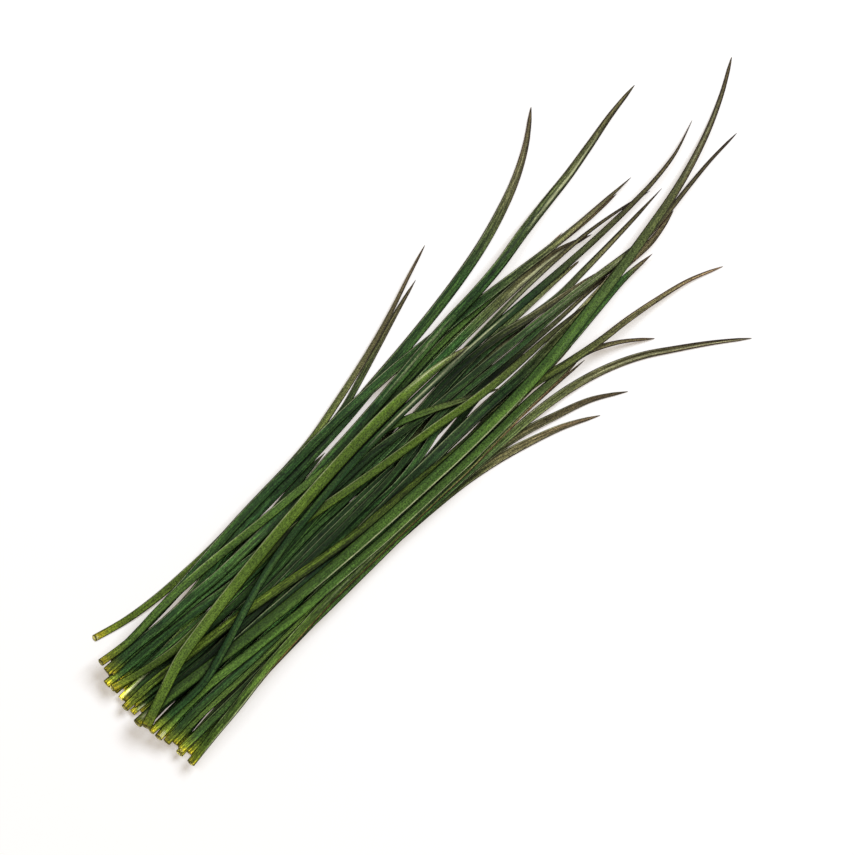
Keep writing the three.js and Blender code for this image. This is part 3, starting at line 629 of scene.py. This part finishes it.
def make_blade(name, number, tree, material):
    """The finished mesh object of one leaf."""
    stations = stations_of(name)
    curve = bpy.data.curves.new(f"spine_{number:02d}", "CURVE")
    curve.dimensions = "3D"
    spline = curve.splines.new("POLY")
    spline.points.add(len(stations) - 1)
    for point, (centre, half_width) in zip(spline.points, stations):
        point.co = (*centre, 1.0)
        point.radius = half_width
    spine = bpy.data.objects.new(curve.name, curve)
    length = sum((a[0] - b[0]).length for a, b in zip(stations, stations[1:]))
    look = {**DEFAULT, **BLADES.get(name, {})}
    values = blade_inputs(look, number, length)
    values["Material"] = material
    modifier = spine.modifiers.new("blade", "NODES")
    modifier.node_group = tree
    for item in tree.interface.items_tree:
        if item.item_type == "SOCKET" and item.in_out == "INPUT" and item.name in values:
            modifier[item.identifier] = values[item.name]
    bpy.context.scene.collection.objects.link(spine)
    graph = bpy.context.evaluated_depsgraph_get()
    mesh = bpy.data.meshes.new_from_object(spine.evaluated_get(graph))
    mesh.name = f"blade_{number:02d}"
    bpy.data.objects.remove(spine)
    bpy.data.curves.remove(curve)
    paint_light(mesh, look["light"], look["base"], look["tilt"])
    paint_marks(mesh, look["marks"])
    blade = bpy.data.objects.new(mesh.name, mesh)
    bpy.context.scene.collection.objects.link(blade)
    return blade


def attribute(tree, name, output="Fac"):
    """A named attribute of the mesh, in a material."""
    return add(tree, "ShaderNodeAttribute", attribute_name=name).outputs[output]


def mixed(tree, share, first, second):
    """A colour mixed from two, each a socket or a linear colour."""
    sources = {0: share, 6: first, 7: second}  # the colour node's own factor, A and B
    for index in (6, 7):
        if not isinstance(sources[index], bpy.types.NodeSocket):
            sources[index] = (*sources[index], 1.0)
    return add(tree, "ShaderNodeMix", sources, data_type="RGBA").outputs[2]


def stretched_noise(tree, grain, across, lengthwise, detail=2.0, roughness=0.5):
    """Noise on a blade's own coordinates, with its own scales across and along the blade."""
    place = vector_calc(tree, "MULTIPLY", grain, (across, across, lengthwise))
    sources = {"Vector": place, "Scale": 1.0, "Detail": detail, "Roughness": roughness}
    return add(tree, "ShaderNodeTexNoise", sources).outputs["Fac"]


def speckle_noise(tree):
    """Noise as fine as the grain of a leaf's skin."""
    place = add(tree, "ShaderNodeTexCoord").outputs["Object"]
    sources = {"Vector": place, "Scale": SPECKLE_SCALE, "Detail": 2.0, "Roughness": 0.7}
    return add(tree, "ShaderNodeTexNoise", sources).outputs["Fac"]


def painted_crevice_shade(tree):
    """Painted shade: darker where blades lie close together."""
    open_sky = add(tree, "ShaderNodeAmbientOcclusion", {"Distance": CREVICE_REACH}, samples=8).outputs["AO"]
    return mapped(tree, open_sky, *PAINTED_CREVICE_SHADE)


def leaf_material(slot):
    """Waxy chive leaf: fine lengthwise veins, yellow at the cut, olive and then brown at the tip, with
    painted light and shade.
    """
    material = bpy.data.materials.new(slot)
    material.use_nodes = True
    tree = material.node_tree
    tree.nodes.clear()
    grain = attribute(tree, "grain", "Vector")
    veins = stretched_noise(tree, grain, **VEIN_NOISE)
    threads = stretched_noise(tree, grain, **THREAD_NOISE)
    patches = stretched_noise(tree, grain, **PATCH_NOISE)

    # colour: green, yellow towards the cut, olive and brown towards the tip, then the marks
    green = mixed(tree, mapped(tree, patches, *PATCH_YELLOW), SLOT_COLOURS[slot], YELLOW_GREEN)
    green = mixed(tree, PATCH_TINT, SLOT_COLOURS[slot], green)
    green = mixed(tree, attribute(tree, "warm"), green, YELLOW_GREEN)
    ragged = calc(tree, "MULTIPLY", calc(tree, "SUBTRACT", veins, 0.5), RAGGEDNESS)
    young = calc(tree, "MULTIPLY", ragged, attribute(tree, "young"))
    young = calc(tree, "ADD", attribute(tree, "young"), young)
    colour = mixed(tree, mapped(tree, young, *YOUNG_YELLOW), green, YELLOW_GREEN)
    colour = mixed(tree, mapped(tree, young, *YOUNG_OCHRE), colour, OCHRE)
    dry = calc(tree, "MULTIPLY", ragged, attribute(tree, "dry"))
    dry = calc(tree, "ADD", attribute(tree, "dry"), dry)
    colour = mixed(tree, mapped(tree, dry, *DRY_OLIVE), colour, OLIVE)
    colour = mixed(tree, mapped(tree, dry, *DRY_BROWN), colour, BROWN)
    # painted shade along the edges of a dry tip
    colour = mixed(tree, attribute(tree, "dry_edge_shade"), colour, MAROON)
    broken = mapped(tree, threads, *BROKEN_LINE)
    # the marks: painted highlights, painted shade and rust
    for kind, mark in MARKS.items():
        shown = attribute(tree, kind)
        shown = calc(tree, "MULTIPLY", shown, broken) if kind == "painted_highlight" else shown
        colour = mixed(tree, shown, colour, mark)
    colour = mixed(tree, attribute(tree, "cut"), colour, PITH)

    # shade: streaks and grooves along the leaf, patches, grain, each blade's painted light and shade, and
    # painted shade in crevices
    streaks = mapped(tree, veins, *VEIN_SHADE)
    streaks = calc(tree, "ADD", streaks, mapped(tree, threads, *THREAD_SHADE))
    shade = calc(tree, "ADD", calc(tree, "MULTIPLY", streaks, attribute(tree, "streak")), 1.0)
    ridge = calc(tree, "ABSOLUTE", calc(tree, "SUBTRACT", veins, 0.5))
    groove = calc(tree, "MULTIPLY", mapped(tree, ridge, *GROOVE_SHADE), attribute(tree, "streak"))
    shade = calc(tree, "MULTIPLY", shade, calc(tree, "SUBTRACT", 1.0, groove))
    shade = calc(tree, "MULTIPLY", shade, mapped(tree, patches, *PATCH_SHADE))
    shade = calc(tree, "MULTIPLY", shade, mapped(tree, speckle_noise(tree), *SPECKLE_SHADE))
    shade = calc(tree, "MULTIPLY", shade, attribute(tree, "light"))
    shade = calc(tree, "MULTIPLY", shade, mapped(tree, young, *YOUNG_SHADE))
    shade = calc(tree, "MULTIPLY", shade, painted_crevice_shade(tree))
    # painted highlights show at full brightness, unshaded
    shade = mapped(tree, attribute(tree, "painted_highlight"), 0.0, 1.0, shade, 1.0)
    colour = vector_calc(tree, "SCALE", colour, shade)

    height = calc(tree, "ADD", veins, calc(tree, "MULTIPLY", threads, THREAD_RELIEF))
    relief = {"Strength": BUMP_STRENGTH, "Distance": BUMP_DISTANCE, "Height": height}
    bump = add(tree, "ShaderNodeBump", relief)
    roughness = mapped(tree, veins, *ROUGHNESS)
    surface = {"Base Color": colour, "Roughness": roughness, "Normal": bump.outputs["Normal"]}
    shader = add(tree, "ShaderNodeBsdfPrincipled", surface)
    shader.inputs["IOR"].default_value = LEAF_IOR
    shader.inputs["Specular IOR Level"].default_value = LEAF_SPECULAR
    output = add(tree, "ShaderNodeOutputMaterial", {"Surface": shader.outputs[0]})
    output.is_active_output = True
    return material


def floor_material():
    """Plain white, a little lifted for the eye, which keeps the bunch's shadow."""
    material = bpy.data.materials.new("floor")
    material.use_nodes = True
    tree = material.node_tree
    tree.nodes.clear()
    seen = add(tree, "ShaderNodeLightPath").outputs["Is Camera Ray"]
    matt = add(tree, "ShaderNodeBsdfDiffuse", {"Color": (*FLOOR_COLOUR, 1.0)})
    lift = {"Color": (*GLOW_COLOUR, 1.0), "Strength": calc(tree, "MULTIPLY", seen, FLOOR_GLOW)}
    glow = add(tree, "ShaderNodeEmission", lift)
    both = add(tree, "ShaderNodeAddShader", {0: matt.outputs[0], 1: glow.outputs[0]})
    add(tree, "ShaderNodeOutputMaterial", {"Surface": both.outputs[0]})
    return material


def make_floor():
    """The table that the bunch lies on."""
    corners = [(-1, -1), (1, -1), (1, 1), (-1, 1)]
    mesh = bpy.data.meshes.new("floor")
    points = [(x * FLOOR_HALF_SIZE, y * FLOOR_HALF_SIZE, -FLOOR_DROP) for x, y in corners]
    mesh.from_pydata(points, [], [(0, 1, 2, 3)])
    mesh.materials.append(floor_material())
    floor = bpy.data.objects.new("floor", mesh)
    bpy.context.scene.collection.objects.link(floor)


def make_world():
    """Soft even light, with plain white behind the floor's edge."""
    world = bpy.data.worlds.new("studio")
    world.use_nodes = True
    tree = world.node_tree
    tree.nodes.clear()
    path = add(tree, "ShaderNodeLightPath").outputs
    strength = mapped(tree, path["Is Camera Ray"], 0.0, 1.0, WORLD_STRENGTH, 1.0)
    colour = mixed(tree, path["Is Camera Ray"], WORLD_COLOUR, WHITE)
    sky = add(tree, "ShaderNodeBackground", {"Color": colour, "Strength": strength})
    add(tree, "ShaderNodeOutputWorld", {"Surface": sky.outputs[0]})
    bpy.context.scene.world = world


def add_light(name, azimuth, elevation, distance, size, power):
    """A square soft light, aimed at the middle of the bunch."""
    data = bpy.data.lights.new(name, "AREA")
    data.size = size
    data.energy = power
    data.color = LIGHT_COLOUR
    light = bpy.data.objects.new(name, data)
    around, above = math.radians(azimuth), math.radians(elevation)
    level = math.cos(above)
    away = Vector((math.cos(around) * level, math.sin(around) * level, math.sin(above)))
    light.location = away * distance
    light.rotation_euler = away.to_track_quat("Z", "Y").to_euler()
    bpy.context.scene.collection.objects.link(light)


def add_camera():
    """A long lens straight above the bunch, turned so that the leaves rise to the right."""
    data = bpy.data.cameras.new("camera")
    data.lens = LENS
    data.sensor_width = SENSOR
    data.clip_start, data.clip_end = 0.01, 20.0
    camera = bpy.data.objects.new("camera", data)
    camera.location = (*CAMERA_AT, CAMERA_SPAN * LENS / SENSOR)
    camera.rotation_euler = (0.0, 0.0, CAMERA_TURN)
    bpy.context.scene.collection.objects.link(camera)
    bpy.context.scene.camera = camera


def main():
    """Sets the stage and lays one dressed blade in place of each solid."""
    bpy.context.scene.view_settings.view_transform = "Standard"
    add_camera()
    make_floor()
    make_world()
    for name, values in LIGHTS.items():
        add_light(name, *values)
    tree = blade_tree()
    materials = {slot: leaf_material(slot) for slot in SLOT_COLOURS}
    slots = {part["node"]: part["material_slot"] for part in frame["record"]["subparts"]}
    for number, name in enumerate(sorted(frame["nodes"]), 1):
        blade = make_blade(name, number, tree, materials[slots[name]])
        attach(blade, "root")
        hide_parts(name)


main()
